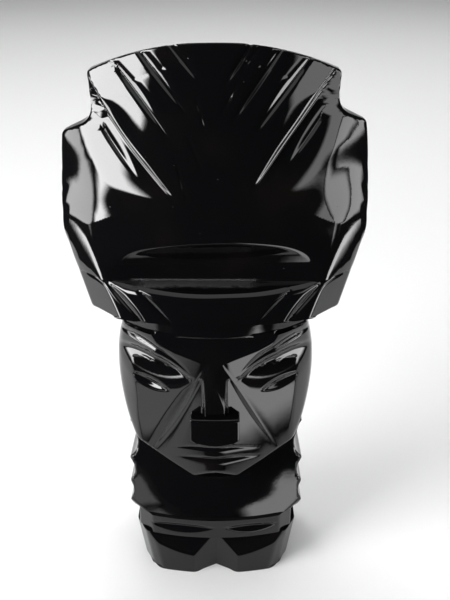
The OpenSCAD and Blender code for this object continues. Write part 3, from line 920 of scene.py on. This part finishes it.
grid = np.stack([half[:, None] * np.linspace(-1, 1, ACROSS)[None, :],
                 np.repeat(run[:, None], ACROSS, 1), np.repeat(lift[:, None], ACROSS, 1)], -1)
r, c = np.meshgrid(np.arange(len(run) - 1), np.arange(ACROSS - 1), indexing="ij")
k = (r * ACROSS + c).ravel()
sweep_mesh = bpy.data.meshes.new("sweep")
sweep_mesh.from_pydata(grid.reshape(-1, 3).tolist(), [],
                       np.stack([k, k + 1, k + ACROSS + 1, k + ACROSS], -1).tolist())
sweep_mesh.polygons.foreach_set("use_smooth", np.ones(len(k), bool))
sweep_mesh.materials.append(paper)
sweep = bpy.data.objects.new("sweep", sweep_mesh)
bpy.context.scene.collection.objects.link(sweep)
print("paper sweep of", len(k), "faces")

# %% [markdown]
# ## Lights and cards
# Two large lamps overhead light the paper. What draws the stone is the cards: glowing sheets that
# stand at the sides and lie beside the figure, each placed where one group of facets looks.

# %% Lamps and cards
from mathutils import Vector


def aimed(thing, at, aim):
    """Put a light or card at a place so that its front looks at the aim."""
    thing.location = at
    thing.rotation_euler = (Vector(aim) - Vector(at)).to_track_quat("-Z", "Y").to_euler()
    bpy.context.scene.collection.objects.link(thing)
    return thing


def soft_box(name, at, aim, width, height, power):
    """A rectangular light."""
    data = bpy.data.lights.new(name, "AREA")
    data.shape = "RECTANGLE"
    data.size, data.size_y = width, height
    data.energy = power
    return aimed(bpy.data.objects.new(name, data), at, aim)


def glow_card(name, at, aim, width, height, glow, fade=0.3, roll=0.0):
    """A glowing card whose light falls off smoothly towards its rim over the share fade."""
    material = bpy.data.materials.new(name)
    material.use_nodes = True
    tree = material.node_tree
    tree.nodes.clear()
    w = Wire(tree, None)
    place = w.node("ShaderNodeTexCoord", out=3)
    x = w.node("ShaderNodeSeparateXYZ", None, {0: place}, out=0)
    y = w.node("ShaderNodeSeparateXYZ", None, {0: place}, out=1)
    ex = 1 - w.maths("ABSOLUTE", x).ramp(width / 2 * (1 - fade), width / 2)
    ey = 1 - w.maths("ABSOLUTE", y).ramp(height / 2 * (1 - fade), height / 2)
    light = w.node("ShaderNodeEmission", None, {"Color": (1, 1, 1, 1), "Strength": ex * ey * glow})
    out = tree.nodes.new("ShaderNodeOutputMaterial")
    tree.links.new(light.socket, out.inputs["Surface"])
    mesh = bpy.data.meshes.new(name)
    a, b = width / 2, height / 2
    mesh.from_pydata([(-a, -b, 0), (a, -b, 0), (a, b, 0), (-a, b, 0)], [], [(0, 1, 2, 3)])
    mesh.materials.append(material)
    card = aimed(bpy.data.objects.new(name, mesh), at, aim)
    card.rotation_euler.rotate_axis("Z", radians(roll))


# name, place, aim, width, depth, power
LAMPS = (
    ("overhead", (0.0, 1.15, 1.9), (0, 1.05, 0), 2.4, 1.2, 27),
    ("near overhead", (0.0, -0.15, 1.5), (0, -0.15, 0), 2.0, 1.4, 8),
)
for lamp in LAMPS:
    soft_box(*lamp)

# Cards that stand and look at the headdress: name, place, width, height, glow, fade, roll. The
# windows draw the fan's flats, and the side windows its lobes.
FIGURE = (0, 0, 0.17)
STANDING = (
    ("left window", (-0.86, -0.54, 0.49), 0.85, 0.42, 19, 0.3, 24),
    ("right window", (0.90, -0.58, 0.46), 0.70, 0.40, 3.0, 0.35, -24),
    ("right window side", (0.98, -0.28, 0.28), 0.34, 0.30, 5.0, 0.35, 0.0),
    ("left side window", (-1.1, -0.10, 0.19), 0.36, 0.22, 8, 0.4, 0.0),
    ("right side window", (1.1, -0.10, 0.19), 0.36, 0.22, 5, 0.4, 0.0),
)
for name, at, width, height, glow, fade, roll in STANDING:
    glow_card(name, at, FIGURE, width, height, glow, fade, roll)

# Cards that lie flat beside the figure and look up: name, x, y, width, depth, glow, fade. The
# tables draw the flutes, and the small reflectors the cheeks and the chest.
LYING_Z = 0.002
LYING = (
    ("left table", -0.72, -0.18, 0.76, 0.46, 13, 0.3),
    ("right table", 0.72, -0.18, 0.76, 0.46, 9, 0.3),
    ("right reflector", 0.108, -0.155, 0.15, 0.12, 4.0, 0.4),
    ("left reflector", -0.138, -0.122, 0.07, 0.09, 1.4, 0.4),
)
for name, x, y, width, height, glow, fade in LYING:
    glow_card(name, (x, y, LYING_Z), (x, y, 1), width, height, glow, fade)

# one narrow card overhead, meant for the left end of the ledge
glow_card("ledge light", (-0.16, 0.43, 1.2), (-0.16, 0.43, 0), 0.10, 0.50, 18, 0.4)
print(len(LAMPS), "lamps and", len(STANDING) + len(LYING) + 1, "cards")

# %% [markdown]
# ## The room
# The rest of the room is nearly dark, a little cool, so that no facet is quite black.

# %% Dim room
ROOM_COLOUR, ROOM_STRENGTH = (0.9, 0.95, 1.0, 1), 0.03
world = bpy.data.worlds.new("dim room")
world.use_nodes = True
world.node_tree.nodes["Background"].inputs[0].default_value = ROOM_COLOUR
world.node_tree.nodes["Background"].inputs[1].default_value = ROOM_STRENGTH
bpy.context.scene.world = world
